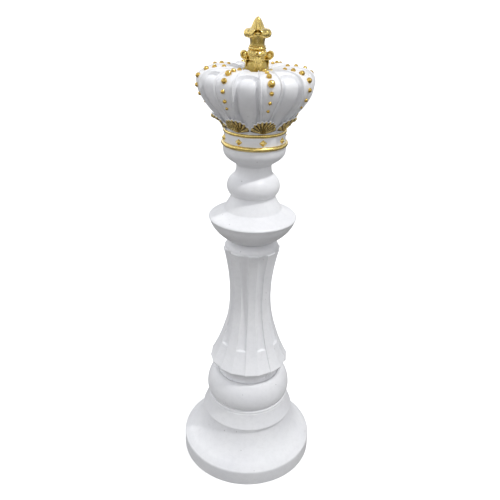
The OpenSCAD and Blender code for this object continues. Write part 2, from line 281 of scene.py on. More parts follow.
def white_resin():
    """Satin white lacquer on cast resin: slow colour drift, orange peel and a few pinholes."""
    mat, tree, bsdf = new_material("white_resin")
    where = tree.nodes.new("ShaderNodeTexCoord").outputs["Object"]
    drift = texture(tree, where, "ShaderNodeTexNoise", 14, Detail=3.0).outputs["Fac"]
    colour = ramp(tree, drift, [(0.3, (0.80, 0.80, 0.82)), (0.7, (0.85, 0.85, 0.86))])
    smudge = texture(tree, where, "ShaderNodeTexNoise", 90, Detail=6.0, Roughness=0.7).outputs["Fac"]
    smudges = ramp(tree, smudge, [(0.32, shade(0.90)), (0.55, shade(1.0))])
    colour = mix(tree, 0.5, colour, smudges, "MULTIPLY")
    cells = texture(tree, where, "ShaderNodeTexVoronoi", 110)
    hole = ramp(tree, cells.outputs["Distance"], [(0.055, shade(1.0)), (0.10, shade(0.0))])
    pick = ramp(tree, cells.outputs["Color"], [(0.80, shade(0.0)), (0.82, shade(1.0))])
    pinhole = mix(tree, 1.0, hole, pick, "MULTIPLY")
    colour = mix(tree, pinhole, colour, (0.12, 0.11, 0.10))
    tree.links.new(colour, bsdf.inputs["Base Color"])
    gloss = texture(tree, where, "ShaderNodeTexNoise", 45, Detail=4.0).outputs["Fac"]
    tree.links.new(ramp(tree, gloss, [(0.3, shade(0.33)), (0.7, shade(0.46))]), bsdf.inputs["Roughness"])
    bsdf.inputs["Specular IOR Level"].default_value = 0.45
    peel = texture(tree, where, "ShaderNodeTexNoise", 380, Detail=2.0).outputs["Fac"]
    pits = mix(tree, 0.9, shade(1.0), mix(tree, pinhole, shade(1.0), shade(0.0)))
    pit = mix(tree, 1.0, peel, pits, "MULTIPLY")
    tree.links.new(bump(tree, pit, 0.00022, 0.5), bsdf.inputs["Normal"])
    return mat


def gilt(name, bright, deep, rough, grain, painted_shade_amount, pits=0.0003):
    """Gold leaf under a clear coat: bright where it stands out, with painted shade that turns it brown where
    it lies deep.
    """
    mat, tree, bsdf = new_material(name)
    where = tree.nodes.new("ShaderNodeTexCoord").outputs["Object"]
    leaf = texture(tree, where, "ShaderNodeTexNoise", 160, Detail=5.0, Roughness=0.65).outputs["Fac"]
    colour = ramp(tree, leaf, [(0.25, tuple(0.72 * c for c in bright)), (0.6, bright)])
    rise = tree.nodes.new("ShaderNodeNewGeometry").outputs["Pointiness"]
    # Painted shade: a mask of the concave places, taken from low pointiness.
    painted_hollow_shade = ramp(tree, rise, [(0.46, shade(1.0)), (0.52, shade(0.0))])
    stored = add_node(tree, "ShaderNodeAttribute", {"attribute_name": "depth"}).outputs["Fac"]
    speck = texture(tree, where, "ShaderNodeTexNoise", 700, Detail=4.0).outputs["Fac"]
    # Painted shade from the hollows and from the stored depth, mottled by fine specks, then turned brown and
    # rough.
    painted_shade = mix(tree, 1.0, painted_hollow_shade, stored, "LIGHTEN")
    painted_shade_specked = mix(tree, 0.75, painted_shade, ramp(tree, speck, [(0.38, shade(0.0)), (0.66, shade(1.0))]), "OVERLAY")
    painted_shade_specked = mix(tree, painted_shade_amount, shade(0.0), painted_shade_specked)
    colour = mix(tree, painted_shade_specked, colour, deep)
    tree.links.new(colour, bsdf.inputs["Base Color"])
    bsdf.inputs["Metallic"].default_value = 1.0
    tree.links.new(mix(tree, painted_shade_specked, ramp(tree, leaf, [(0.3, shade(rough)), (0.8, shade(rough + 0.12))]),
                       shade(0.62)), bsdf.inputs["Roughness"])
    fine = texture(tree, where, "ShaderNodeTexNoise", grain, Detail=3.0).outputs["Fac"]
    broad = texture(tree, where, "ShaderNodeTexNoise", 240, Detail=2.0).outputs["Fac"]
    tree.links.new(bump(tree, fine, pits, 0.6, bump(tree, broad, 0.0014, 0.6)), bsdf.inputs["Normal"])
    bsdf.inputs["Coat Weight"].default_value = 0.5
    bsdf.inputs["Coat Roughness"].default_value = 0.06
    return mat


def plain(name, a, b, scale, rough, metallic=0.0, stretch=(1, 1, 1), height=0.0002):
    """A two-tone grained material for board, rubber, sand and metal. stretch draws the grain out."""
    mat, tree, bsdf = new_material(name)
    where = tree.nodes.new("ShaderNodeTexCoord").outputs["Object"]
    mapped = add_node(tree, "ShaderNodeMapping", Scale=stretch)
    tree.links.new(where, mapped.inputs["Vector"])
    grain = texture(tree, mapped.outputs["Vector"], "ShaderNodeTexNoise", scale, Detail=6.0,
                    Roughness=0.6).outputs["Fac"]
    tree.links.new(ramp(tree, grain, [(0.3, a), (0.7, b)]), bsdf.inputs["Base Color"])
    tree.links.new(ramp(tree, grain, [(0.3, shade(rough)), (0.7, shade(rough + 0.12))]),
                   bsdf.inputs["Roughness"])
    bsdf.inputs["Metallic"].default_value = metallic
    tree.links.new(bump(tree, grain, height, 0.7), bsdf.inputs["Normal"])
    return mat


WHITE = white_resin()
BRIGHT_GILT = gilt("bright_gilt", (0.86, 0.65, 0.21), (0.13, 0.07, 0.015), 0.12, 900, 0.9)
ANTIQUE_GILT = gilt("antique_gilt", (0.98, 0.76, 0.30), (0.07, 0.042, 0.012), 0.22, 1100, 1.0, 0.0006)
BEAD_GILT = gilt("bead_gilt", (0.74, 0.49, 0.11), (0.12, 0.06, 0.012), 0.12, 900, 0.85)
POT_GILT = gilt("pot_gilt", (0.58, 0.43, 0.11), (0.24, 0.15, 0.03), 0.30, 900, 0.8, 0.0004)
STEEL = plain("zinc_steel", (0.50, 0.51, 0.53), (0.68, 0.69, 0.71), 300, 0.28, 1.0, (1, 1, 0.2))
ALUMINIUM = plain("tube_aluminium", (0.62, 0.63, 0.65), (0.76, 0.77, 0.79), 400, 0.25, 1.0, (1, 1, 0.1))
BRASS = plain("raw_brass", (0.60, 0.44, 0.18), (0.78, 0.60, 0.28), 300, 0.25, 1.0)
RUBBER = plain("black_rubber", (0.020, 0.020, 0.021), (0.045, 0.045, 0.047), 500, 0.62)
SEAL = plain("grey_rubber", (0.10, 0.10, 0.10), (0.17, 0.17, 0.17), 500, 0.6)
PLASTIC = plain("black_plastic", (0.018, 0.018, 0.020), (0.040, 0.040, 0.043), 900, 0.42)
BOARD = plain("board", (0.42, 0.28, 0.15), (0.66, 0.50, 0.31), 90, 0.55, 0.0, (1, 0.08, 1), 0.0004)
SAND = plain("sand", (0.48, 0.38, 0.24), (0.78, 0.67, 0.48), 900, 0.85, 0.0, (1, 1, 1), 0.001)


# ---------- base, stepped ring and big ring ----------

def base_casting():
    rim_top = (BASE_R - 2.5, BASE_Z + 35.5)
    flare = (BASE_R - 15.5, BASE_Z + 48)
    wall = BASE_R - 7.2
    ledge = BASE_R - 19.5
    profile = outline(
        (BASE_R, BASE_Z), (BASE_R, BASE_Z + 29),
        ((BASE_R, BASE_Z + 32), (BASE_R - 0.5, BASE_Z + 34), rim_top),
        ((BASE_R - 6.5, BASE_Z + 40), (BASE_R - 10.5, BASE_Z + 44), flare),
        ((BASE_R - 29.5, BASE_Z + 60), (100, STEP_Z - 33), (92, STEP_Z)),
        (80, STEP_Z), (80, STEP_Z - 10), (86, STEP_Z - 13), (99, STEP_Z - 37), (ledge - 2, STEP_Z - 62),
        (ledge, BASE_Z + 40), (ledge, BASE_Z + 20), (wall, BASE_Z + 20), (wall, BASE_Z))
    piece("base_flare", [lathe(eased(profile, 1.4), 256)], WHITE,
          replaces=["base_casting"])


def step_ring():
    profile = outline(
        (93, STEP_Z),
        ((STEP_R - 1.8, STEP_Z + 0.2), (STEP_R + 0.2, STEP_Z + 0.9), (STEP_R, STEP_Z + 2.4)),
        ((STEP_R - 5.5, STEP_Z + 15), (88.5, TORUS_Z - 15), (86.8, TORUS_Z - 7)),
        ((86.2, TORUS_Z - 6.4), (85.9, TORUS_Z - 5.8), (85.9, TORUS_Z - 5.2)),
        ((86.3, TORUS_Z - 4.2), (86.0, TORUS_Z - 2.0), (84.5, TORUS_Z - 0.6)), (82, TORUS_Z),
        (76, TORUS_Z), (76, TORUS_Z - SOCKET), (70, TORUS_Z - SOCKET),
        (70, STEP_Z - 8), (79.7, STEP_Z - 8), (79.7, STEP_Z))
    piece("stepped_ring", [lathe(eased(profile, 0.5), 256)], WHITE,
          replaces=["step_ring"])


def torus_ring():
    profile = outline(
        (82, TORUS_Z),
        ((93.5, TORUS_Z + 12), (88.5, SHAFT_Z - 14), (75, SHAFT_Z + 1)),
        ((71, SHAFT_Z + 3.5), (67, SHAFT_Z + 2), (65, SHAFT_Z)),
        (58, SHAFT_Z), (58, SHAFT_Z - SOCKET), (66, SHAFT_Z - 11), (73, SHAFT_Z - 20), (77, SHAFT_Z - 34),
        (75, TORUS_Z + 9), (70, TORUS_Z), (70, TORUS_Z - SPIGOT), (75.7, TORUS_Z - SPIGOT), (75.7, TORUS_Z))
    piece("big_ring", [lathe(eased(profile, 0.6), 256)], WHITE,
          replaces=["torus_ring"])


# ---------- fluted shaft ----------

SKIRT_Z = SHAFT_Z + 34
CREASE_Z = SHAFT_Z + 81
# Half the width of a strip, and of the hollow beside it, as a share of one flute
STRIP = 0.25


def flute_turns():
    """Turns of the shaft's columns: few across a raised strip, many at a hollow's two edges."""
    places = [STRIP * k / 4 for k in range(-4, 4)]
    places += [0.5 - STRIP * math.cos(math.pi * k / 24) for k in range(24)]
    return [FLUTE_TURN + (n + u) * TURN / FLUTES for n in range(FLUTES) for u in sorted(places)]


def flute_depth(z):
    return 3.9 * smooth(z, CREASE_Z - 5, CREASE_Z - 1.5) - 1.7 * smooth(z, CAP_Z - 50, CAP_Z)


def pleats(r, z, a):
    """Flat pleats on the skirt, hollow flutes above the crease, each with a step at its right edge."""
    u = ((a - FLUTE_TURN) / TURN * FLUTES + STRIP) % 1 - STRIP
    half = STRIP * TURN / FLUTES
    if u <= STRIP:
        return r * (math.cos(half) / math.cos(u * TURN / FLUTES) - 1)
    v = (u - 0.5) / STRIP
    chord = r * (math.cos(half) / math.cos(v * half) - 1)
    step = (1.7 - 0.6 * smooth(z, CREASE_Z, CREASE_Z + 60)) * (1 + v) / 2 * smooth(1 - v, 0, 0.012)
    return chord - step - flute_depth(z) * max(0.0, 1 - v * v) ** 0.72


def shaft():
    waist = (42.2, CREASE_Z + 100)
    neck = (64.5, SHAFT_Z)
    profile = outline(
        neck,
        ((64.5, SHAFT_Z + 14), (70, SHAFT_Z + 23), (SKIRT_R - 1.5, SKIRT_Z - 4)),
        ((SKIRT_R - 0.6, SKIRT_Z - 3.4), (SKIRT_R, SKIRT_Z - 1), (SKIRT_R - 0.2, SKIRT_Z)),
        ((SKIRT_R - 3, SKIRT_Z + 5), (70, CREASE_Z - 24), (63.6, CREASE_Z - 6)),
        ((62.4, CREASE_Z - 2.7), (61.3, CREASE_Z + 0.7), (60.1, CREASE_Z + 4)),
        ((49.3, CREASE_Z + 35), (waist[0], CREASE_Z + 65), waist),
        ((waist[0], CREASE_Z + 143), (49, CAP_Z - 26), (56, CAP_Z)))
    bore = [(32, CAP_Z), (32, CREASE_Z), (44, SHAFT_Z + 10), (44, SHAFT_Z - SPIGOT), (57.7, SHAFT_Z - SPIGOT),
            (57.7, SHAFT_Z)]
    rounded = eased(profile, 0.5, 30) + bore

    def fluted(r, z, a):
        return 0 if (r, z) in bore else pleats(r, z, a) * smooth(z, SHAFT_Z, SHAFT_Z + 6)

    piece("fluted_shaft_casting", [lathe(rounded, flute_turns(), fluted)], WHITE,
          replaces=["fluted_shaft"], sharp=28)


def shaft_cap():
    profile = outline(
        (56, CAP_Z), (56, CAP_Z + 0.8),
        ((54.6, CAP_Z + 1.5), (53.2, CAP_Z + 2.0), (52.5, CAP_Z + 3.4)),
        ((52.2, CAP_Z + 7.5), (49, CAP_Z + 13), (38, COLLAR_Z)),
        (TUBE_R, COLLAR_Z), (TUBE_R, CAP_Z - 4), (21, CAP_Z - 4),
        (21, CAP_Z - 8), (31.7, CAP_Z - 8), (31.7, CAP_Z))

    def scallops(r, z, a):
        return min(0.0, 56 + pleats(56, CAP_Z, a) - r) if z >= CAP_Z else 0

    piece("fluted_shaft_cap", [lathe(eased(profile, 0.4), flute_turns(), scallops)], WHITE,
          replaces=["shaft_cap"], sharp=30)


# ---------- collar, neck ball and cup ----------

def collar():
    edge_z = COLLAR_Z + 50
    profile = outline(
        (36, COLLAR_Z),
        ((46, COLLAR_Z + 3), (76, COLLAR_Z + 21), (COLLAR_R - 2, edge_z - 4.5)),
        ((COLLAR_R - 1, edge_z - 3), (COLLAR_R, edge_z - 1.4), (COLLAR_R, edge_z - 0.2)),
        ((COLLAR_R - 0.2, edge_z + 1), (COLLAR_R - 1.4, edge_z + 2.6), (COLLAR_R - 5, edge_z + 4.4)),
        ((72, edge_z + 7.6), (63, edge_z + 10.5), (55, edge_z + 16.5)),
        ((50.5, edge_z + 27), (NECK_R + 2, edge_z + 36), (NECK_R, BALL_Z)),
        (TUBE_R, BALL_Z), (TUBE_R, COLLAR_Z))
    piece("collar_casting", [lathe(eased(profile, 0.5, 30), 224)], WHITE,
          replaces=["collar"], sharp=32)


def neck_ball():
    profile = outline(
        (NECK_R, BALL_Z),
        ((NECK_R + 11.5, BALL_Z + 8), (NECK_R + 12.5, BALL_Z + 28), (38, BALL_Z + 39)),
        ((34.5, BALL_Z + 42), (32.3, CUP_Z - 9), (33, CUP_Z)), (TUBE_R, CUP_Z), (TUBE_R, BALL_Z))
    piece("neck_ball_casting", [lathe(eased(profile, 0.5, 30), 200)], WHITE,
          replaces=["neck_ball"])


def cup():
    profile = outline(
        (33, CUP_Z),
        ((36, CUP_Z + 7), (55, CUP_Z + 12), (57.4, CUP_Z + 26)),
        ((57.9, CUP_Z + 30), (57.9, BAND_Z - 3), (57.4, BAND_Z)),
        (50, BAND_Z), (50, BAND_Z - SOCKET), (44, BAND_Z - 15), (TUBE_R, CUP_Z + 14), (TUBE_R, CUP_Z))
    piece("crown_cup_casting", [lathe(eased(profile, 0.6, 30), 200)], WHITE,
          replaces=["crown_cup"])


def band():
    profile = [(BAND_R, BAND_Z), (BAND_R, CROWN_Z), (46, CROWN_Z), (46, BAND_Z - SPIGOT),
               (49.7, BAND_Z - SPIGOT), (49.7, BAND_Z)]
    piece("crown_band_casting", [lathe(profile, 200)], WHITE,
          replaces=["crown_band"])


# ---------- crown ----------

ARCH = outline(
    (BAND_R + 1, CROWN_Z),
    ((60, CROWN_Z + 17), (74, CROWN_Z + 27), (86, CROWN_Z + 42)),
    ((96, CROWN_Z + 55), (102.5, CROWN_Z + 67), (102.5, CROWN_Z + 80)),
    ((102.5, CROWN_Z + 95), (88, CROWN_Z + 103), (62, CROWN_Z + 103)),
    ((45, CROWN_Z + 103), (28, CROWN_Z + 99), (23, CROWN_Z + 92)))
PANEL_TOP = 128
ARCH_STEP = TURN / ARCHES
ARCH_SWAY = [math.radians(degrees) for degrees in (-1.4, -1.0, 0.8, -0.6, 1.0, 0.4, -3.2, -1.4)]


def arch_turn(n):
    """The turn of an arch: each one has its own listed sway."""
    return ARCH_TURN + n * ARCH_STEP + ARCH_SWAY[n]


def in_panel(a):
    """Angles from a to the arches on its left and on its right."""
    n = int((a - ARCH_TURN + ARCH_STEP / 2) // ARCH_STEP)
    gaps = [a - ARCH_TURN - k * ARCH_STEP - ARCH_SWAY[k % ARCHES] for k in (n - 1, n, n + 1)]
    return min(g for g in gaps if g >= 0), min(-g for g in gaps if g <= 0)


def lengths(points):
    made = [0.0]
    for a, b in zip(points, points[1:]):
        made.append(made[-1] + math.dist(a, b))
    return made


ARCH_LENGTHS = lengths(ARCH)
ARCH_LENGTH = ARCH_LENGTHS[-1]


def on_arch(s, out=0.0):
    """(radius, height) at length s along an arch's back, moved outwards by out."""
    s = min(max(s, 0.0), ARCH_LENGTH - 1e-6)
    i = next(k for k in range(len(ARCH) - 1) if ARCH_LENGTHS[k + 1] >= s)
    t = (s - ARCH_LENGTHS[i]) / (ARCH_LENGTHS[i + 1] - ARCH_LENGTHS[i])
    point = Vector(ARCH[i]).lerp(Vector(ARCH[i + 1]), t)
    before = Vector(ARCH[max(i - 1, 0)])
    after = Vector(ARCH[min(i + 2, len(ARCH) - 1)])
    along = (after - before).normalized()
    return point + out * Vector((along.y, -along.x))


def arch_half(s):
    """Half the width of an arch, as an angle."""
    return math.radians(6.4 + 4.2 * smooth(s, 25, 100))


def panel_depth(s, a):
    """How deep the crown's skin lies under the arches' backs: channels round eight puffed panels."""
    r = on_arch(s).x
    side = (min(in_panel(a)) - arch_half(s)) * r
    top = PANEL_TOP - s
    corner = 15
    if side < corner and top < corner:
        edge = corner - math.hypot(corner - side, corner - top)
    else:
        edge = min(side, top)
    grown = smooth(s, 0, 38)
    rim = 1.6 + 1.2 * grown - 1.8 * smooth(s, PANEL_TOP - 12, PANEL_TOP + 3)
    if edge <= 0:
        return rim
    level = 2.2 + 2.6 * grown
    channel = level + 3.8 * grown
    wall = rim + (channel - rim) * smooth(edge, 0, 2.2)
    puff = (level - channel) * smooth(edge, 4.4, 8.0)
    return wall + puff - 1.5 * math.sin(0.5 * math.pi * min(1.0, max(0.0, edge - 7) / 14))


def crown_shell():
    columns = ARCHES * 64
    turns = [TURN * i / columns for i in range(columns)]
    rows = []
    count = 170
    for j in range(count + 1):
        s = ARCH_LENGTH * j / count
        row = []
        for a in turns:
            r, z = on_arch(s, -panel_depth(s, a) + uneven(a, s, 2.5, 0.3))
            row.append(around(r, a, z))
        rows.append(row)
    for r, z in ((18, POT_Z), (7, POT_Z), (7, POT_Z - 9), (24, POT_Z - 9), (62, POT_Z), (80, POT_Z - 3),
                 (88, POT_Z - 22), (75, POT_Z - 45), (50, CROWN_Z + 16), (39, CROWN_Z), (39, CROWN_Z - 7),
                 (45.7, CROWN_Z - 7), (45.7, CROWN_Z)):
        rows.append([around(r, a, z) for a in turns])
    piece("crown_casting", [solid(rows, loop=True)], WHITE,
          replaces=["crown_shell"])


ARCH_SECTION = [(1.0, -7.5), (1.0, -0.6), (0.992, 1.0), (0.965, 1.8), (0.93, 2.0), (0.90, 1.5),
                (0.875, 0.2), (0.85, -1.0), (0.81, -1.2), (0.76, -0.7), (0.69, -0.2), (0.5, 0.05),
                (0.25, 0.15), (0.0, 0.2)]


def crown_arches():
    across = [(-t, h) for t, h in ARCH_SECTION] + [(t, h) for t, h in reversed(ARCH_SECTION[:-1])]
    start, count = 22, 130
    parts = []
    for n in range(ARCHES):
        turn = arch_turn(n)
        rows = []
        for j in range(count + 1):
            s = start + (ARCH_LENGTH - start) * j / count
            half = arch_half(s)
            sway = 0.012 * noise.noise(Vector((n * 7.3, s * 0.03, 0.5)))
            thin = 1 - 0.6 * smooth(s, PANEL_TOP, ARCH_LENGTH)
            row = []
            for t, h in across:
                level = h if h > -2 else h * thin
                r, z = on_arch(s, level + uneven(turn + t * half, s, 6, 0.25))
                wide = 1 + 0.03 * noise.noise(Vector((s * 0.05, n, t)))
                row.append(around(r, turn + sway + t * half * wide, z))
            rows.append(row)
        parts.append(solid(rows))
    piece("crown_arch_ribs", parts, WHITE, replaces=["crown_arches"], sharp=50)


def ball(centre, normal, radius, squash, seed):
    """A bead pressed on to a surface, a little out of round."""
    bm = bmesh.new()
    bmesh.ops.create_icosphere(bm, subdivisions=3, radius=1.0)
    turn = Vector(normal).to_track_quat("Z", "Y").to_matrix()
    points = []
    for v in bm.verts:
        lump = 1 + 0.09 * noise.noise(v.co * 1.6 + Vector((seed * 3.1, 0, 0)))
        points.append(Vector(centre) + turn @ Vector((v.co.x, v.co.y, v.co.z * squash)) * radius * lump)
    faces = [tuple(v.index for v in f.verts) for f in bm.faces]
    bm.free()
    return points, faces


BEAD_START = 57
BEAD_PITCH = 15.8
BEAD_RADII = (2.5, 3.4, 4.1, 4.7, 4.4, 4.2, 3.6)
BIG_BEADS = {(0, 3): 6.3, (7, 4): 5.6, (1, 4): 5.0}


def arch_beads():
    parts = []
    for n in range(ARCHES):
        for k, base in enumerate(BEAD_RADII):
            s = BEAD_START + k * BEAD_PITCH + rng.uniform(-1.2, 1.2)
            radius = BIG_BEADS.get((n, k), base * rng.uniform(0.88, 1.1))
            turn = arch_turn(n) + rng.uniform(-0.012, 0.012)
            r, z = on_arch(s, 0.3 * radius)
            r0, z0 = on_arch(s)
            parts.append(ball(around(r, turn, z), around(r - r0, turn, z - z0), radius, 0.95, n * 10 + k))
    piece("crown_beads", parts, BEAD_GILT, replaces=["arch_beads"])


# ---------- band ornaments ----------

def cord_ring(name, r, section, node):
    """A gilt ring laid on the band by hand: half round, a little uneven."""
    z = (low(node) + high(node)) / 2
    columns, around_section = 220, 14
    rows = []
    for i in range(columns):
        a = TURN * i / columns
        lift = 0.35 * noise.noise(Vector((math.cos(a) * 2.2, math.sin(a) * 2.2, z)))
        size = section * (1 + 0.10 * noise.noise(Vector((math.cos(a) * 5, math.sin(a) * 5, z * 2))))
        row = []
        for k in range(around_section):
            b = math.pi * (k / (around_section - 1) - 0.5)
            row.append(around(r - section + size * math.cos(b), a, z + lift + size * math.sin(b)))
        row.append(around(BAND_R - 1.5, a, z + lift + size * 0.9))
        row.append(around(BAND_R - 1.5, a, z + lift - size * 0.9))
        rows.append(row)
    piece(name, [solid(rows, loop=True)], BRIGHT_GILT, replaces=[node],
          sharp=50)


def band_studs():
    """Eight diamond studs: four-sided pyramids on a thin base."""
    centre_z = (low("band_studs") + high("band_studs")) / 2
    parts = []
    for n in range(ARCHES):
        turn = ARCH_TURN + n * ARCH_STEP + rng.uniform(-0.02, 0.02)
        half_w, half_h = 7 * rng.uniform(0.92, 1.06), 5.8 * rng.uniform(0.94, 1.06)
        rows = []
        for out, size in ((-0.8, 1.0), (0.5, 1.0), (1.0, 0.93), (3.6, 0.36), (4.6, 0.16), (4.9, 0.04)):
            row = []
            for k in range(16):
                b = TURN * k / 16
                c, d = math.cos(b), math.sin(b)
                diamond = 1 / (abs(c) + abs(d)) ** 0.9
                x, h = half_w * size * diamond * c, half_h * size * diamond * d
                row.append(around(math.sqrt(BAND_R ** 2 - x * x) + out, turn + x / BAND_R, centre_z + h))
            rows.append(row)
        parts.append(solid(rows))
    piece("diamond_studs", parts, BRIGHT_GILT, replaces=["band_studs"], sharp=28)


# ---------- palmettes ----------

LEAF_RIBS = 9
LEAF_HALF = 22.6
LEAF_HEIGHT = 34.5


def leaf_tip(b):
    """End of a palmette's rib at b from -1 to 1: across the leaf, and up it."""
    a = b * math.radians(86)
    scallop = 1 - 0.11 * (0.5 - 0.5 * math.cos(b * LEAF_RIBS * math.pi)) * (1 if abs(b) < 0.92 else 0)
    return LEAF_HALF * math.sin(a) * scallop, LEAF_HEIGHT * math.cos(a) ** 0.72 * scallop


def leaf_point(turn, b, f, lift, grow=0.0):
    """A point at fraction f of a palmette's rib, raised by lift from the crown."""
    x, up = leaf_tip(b)
    size = 1 + grow / math.hypot(x, up)
    across = x * size * f ** 0.85
    s = 0.6 + up * size * f ** 1.1
    r, z = on_arch(s, lift)
    return around(r, turn + across / r, z)


def leaf_curl(b, f):
    """How far a palmette bends away from the crown."""
    return 5.0 * smooth(f, 0.35, 1.0) * (0.3 + 0.7 * math.cos(b * 1.4) ** 2)


def leaf_relief(b, f, seed):
    """Ribs that run out to the tips, and how bright each point stays under the painted shade between them."""
    rib = 0.5 + 0.5 * math.cos(b * LEAF_RIBS * math.pi)
    middle = math.exp(-(b / 0.045) ** 2)
    side = 0.5 + 0.5 * math.cos((f * 7 + abs(b) * 5) * math.pi)
    grit = noise.noise(Vector((b * 16 + seed * 5, f * 11, seed)))
    height = (0.7 + 1.8 * f) * rib ** 0.7 + 1.6 * middle * (0.3 + 0.7 * f) + 0.6 * side * rib + 0.8 * grit
    return height, min(1.0, 0.05 + 0.85 * rib ** 1.6 + 0.35 * side * rib + 0.6 * grit)


def palmettes():
    ribs = [k / 54 - 1 for k in range(109)]
    fractions = [0.03 + 0.97 * k / 26 for k in range(27)]
    parts, depth, backs = [], [], []
    for n in range(ARCHES):
        turn = ARCH_TURN + n * ARCH_STEP + rng.uniform(-0.02, 0.02)
        rows, back_rows = [], []
        for b in ribs:
            row = []
            for f in fractions:
                relief, bright = leaf_relief(b, f, n)
                height = relief * (1 - 0.4 * smooth(f, 0.9, 1.0))
                row.append(leaf_point(turn, b, f, 0.8 + leaf_curl(b, f) + height))
                # Painted shade, darker between the ribs: one value for each point of the leaf's face.
                depth.append(1 - bright)
            rows.append(row + [leaf_point(turn, b, f, leaf_curl(b, f) - 0.4) for f in reversed(fractions)])
            # Painted shade on the leaf's back, which faces the crown.
            depth.extend([0.6] * len(fractions))
            outer = [leaf_point(turn, b, f, leaf_curl(b, f) + 0.5, 1.1) for f in fractions]
            inner = [leaf_point(turn, b, f, leaf_curl(b, f) - 1.3, 1.1) for f in reversed(fractions)]
            back_rows.append(outer + inner)
        parts.append(solid(rows))
        backs.append(solid(back_rows))
    piece("palmette_backs", backs, WHITE, sharp=50)
    piece("palmette_leaves", parts, ANTIQUE_GILT, replaces=["palmettes"], sharp=60,
          depth=depth)


# ---------- finial ----------

FINIAL_TURN = math.radians(4)


def spaced(points, count):
    """count + 1 points at even steps along a line."""
    far = lengths(points)
    made = []
    for k in range(count + 1):
        s = far[-1] * k / count
        i = next((j for j in range(1, len(far)) if far[j] >= s), len(far) - 1)
        t = (s - far[i - 1]) / max(far[i] - far[i - 1], 1e-9)
        made.append(Vector(points[i - 1]).lerp(Vector(points[i]), min(1.0, t)))
    return made


def petal(turn, path, width, thick, seed):
    """A fat gilt leaf along a (radius, height) path, veined on the side to the left of the path."""
    count, sides = 40, 36
    line = spaced(path, count)
    flat = around(1, turn, 0)
    across = Vector((-flat.y, flat.x, 0))
    rows = []
    for j, p in enumerate(line):
        t = j / count
        along = (line[min(j + 1, count)] - line[max(j - 1, 0)]).normalized()
        out = Vector((-along.y, along.x))
        swell = math.sin(math.pi * min(1.0, 0.16 + 0.80 * t)) ** 0.6
        taper = max(0.12, 1 - max(0.0, t - 0.86) / 0.14) ** 0.5
        wide = width / 2 * (0.35 + 0.65 * swell) * taper
        deep = thick / 2 * (0.5 + 0.5 * swell) * taper
        row = []
        for i in range(sides):
            b = TURN * i / sides
            x, h = math.cos(b), math.sin(b)
            lift = abs(h) ** 0.8 * math.copysign(1, h) * deep
            if h > 0:
                vein = 0.9 * math.exp(-(x / 0.10) ** 2) + 0.5 * math.exp(-((abs(x) - 0.5) / 0.10) ** 2)
                lift -= vein * h * deep * 0.45 - 0.25 * math.sin(t * 22 + abs(x) * 7) * h
            lump = 0.3 * noise.noise(Vector((x * 2, h * 2 + seed, t * 5)))
            place = p + out * (lift + lump)
            row.append(flat * place.x + across * (x * wide) + Vector((0, 0, place.y)))
        rows.append(row)
    return solid(rows)


def finial_pot():
    """A pot with four sepals on its wall, and six short petals draped over the crown."""
    top = LEAVES_Z
    profile = outline(
        (14, POT_Z - 1.0), (16.5, POT_Z - 1.0),
        ((17.8, POT_Z), (18.4, POT_Z + 6), (18.8, POT_Z + 12)),
        ((19.6, POT_Z + 19), (19.6, top - 1), (14, top)),
        (8.5, top), (8.5, POT_Z + 14), (14, POT_Z + 14))

    def sepals(r, z, a):
        if r < 12:
            return 0
        side = (a - FINIAL_TURN + TURN / 8) % (TURN / 4) - TURN / 8
        half = 0.46 * (1 - smooth(z, POT_Z + 6, top + 4)) + 0.02
        leaf = smooth(half - abs(side), 0, 0.10) * smooth(z, POT_Z + 5, POT_Z + 12)
        keel = math.exp(-(side / 0.06) ** 2)
        return leaf * (1.3 + 1.1 * keel) - 0.6 + 0.4 * noise.noise(Vector((a * 2, z * 0.12, 4)))

    parts = [lathe(eased(profile, 0.8), 144, sepals)]
    for n in range(6):
        drape = [(18.0, POT_Z + 9), on_arch(ARCH_LENGTH - 1, 3.2), on_arch(ARCH_LENGTH - 5, 2.6),
                 on_arch(ARCH_LENGTH - 9, 1.8)]
        parts.append(petal(math.radians(60 * n - 9), drape, 15, 2.4, n + 20))
    piece("finial_pot_cast", parts, POT_GILT, replaces=["finial_pot"])


def lobe(turn, path, width, thick, r, z, radius, seed):
    """A petal rolled round a solid core."""
    core = ball(around(r, turn, z), around(1, turn + math.pi / 2, 0), radius, 0.42 * width / radius, seed)
    return [petal(turn, path, width, thick, seed), core]


def finial_leaves():
    """A large rolled leaf on each side, drooping petals between them, and upright sepals."""
    z = LEAVES_Z
    hub = outline((9, z), (16, z), ((17.5, z + 6), (15, z + 12), (12.5, RING_Z)), (9, RING_Z))
    parts = [lathe(hub, 96)]
    large = outline((14, z + 0.8), ((18, z + 0.5), (24.5, z + 1.5), (26.4, z + 6)),
                    ((28, z + 11), (26, z + 14.4), (21.5, z + 14)),
                    ((19.5, z + 13.6), (18.5, z + 11.5), (19.5, z + 10)))
    small = outline((11.5, z + 14.6), ((15, z + 15.6), (18, z + 13.5), (18.6, z + 10)), (17.6, z + 6.5))
    for side in (-1, 1):
        parts.extend(lobe(side * math.pi / 2, large, 16, 4.2, 20.6, z + 7.6, 6.8, side + 2))
        for turn in (math.radians(30), math.radians(150)):
            turn = side * turn + rng.uniform(-0.04, 0.04)
            parts.append(petal(turn, small, 18, 4.4, turn))
    for n in range(4):
        turn = FINIAL_TURN + n * TURN / 4
        stalk = [(18.4, z - 11), (19.4, z - 4), (18.8, z + 2), (16.8, z + 8)]
        parts.append(petal(turn, stalk, 14, 3.4, n + 9))
    piece("finial_curled_leaves", parts, BRIGHT_GILT, replaces=["finial_leaves"],
          sharp=60)


def finial_ring():
    profile = outline(
        (STUD_R, RING_Z), (11.8, RING_Z),
        ((16.6, RING_Z + 0.2), (16.6, RING_Z + 5.4), (12.8, RING_Z + 5.8)),
        ((15.2, RING_Z + 6.0), (15.2, RING_Z + 8.0), (12.0, STEM_Z)), (STUD_R, STEM_Z))
    piece("finial_turned_ring", [lathe(profile, 96)], BRIGHT_GILT,
          replaces=["finial_ring"])


